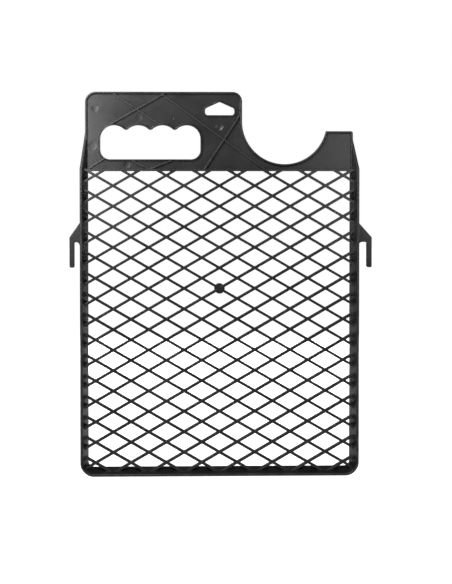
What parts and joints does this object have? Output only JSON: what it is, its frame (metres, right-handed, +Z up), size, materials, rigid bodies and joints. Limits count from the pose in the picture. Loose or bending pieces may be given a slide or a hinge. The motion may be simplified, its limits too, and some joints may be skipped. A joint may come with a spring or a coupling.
{
  "type": "paint roller bucket grid",
  "caption": "Flat lattice grid with raised rails, a handle panel with a finger-shaped grip, a hang hole and a round notch, and two side hooks that hold it inside a pail.",
  "frame": {"origin": "midway between the seats of the two side hooks, in the plane of the flat back", "axes": "+X across the grid towards the notch side, +Z up from the mesh to the handle, -Y out of the working face"},
  "size_m": [0.2704, 0.016, 0.3435],
  "materials": {
    "moulded_plastic": "satin moulded polypropylene with fine grain"
  },
  "bodies": {
    "root": {"left_rail": "moulded_plastic", "right_rail": "moulded_plastic", "bottom_rail": "moulded_plastic", "bottom_left_corner": "moulded_plastic", "bottom_right_corner": "moulded_plastic", "left_rail_ramp": "moulded_plastic", "right_rail_ramp": "moulded_plastic", "crossbar": "moulded_plastic", "mesh": "moulded_plastic", "gate_disc": "moulded_plastic", "handle_plate": "moulded_plastic", "left_rim": "moulded_plastic", "top_left_rim_corner": "moulded_plastic", "top_rim": "moulded_plastic", "top_right_rim_corner": "moulded_plastic", "neck_rim": "moulded_plastic", "notch_rim": "moulded_plastic", "wing_top_rim": "moulded_plastic", "wing_side_rim": "moulded_plastic", "grip_lip": "moulded_plastic", "hang_hole_lip": "moulded_plastic", "rib_left_diagonal": "moulded_plastic", "rib_left_brace": "moulded_plastic", "rib_long_diagonal": "moulded_plastic", "rib_long_brace": "moulded_plastic", "rib_below_grip_left": "moulded_plastic", "rib_below_grip_middle": "moulded_plastic", "rib_below_grip_right": "moulded_plastic", "left_hook": "moulded_plastic", "right_hook": "moulded_plastic"}
  },
  "joints": []
}
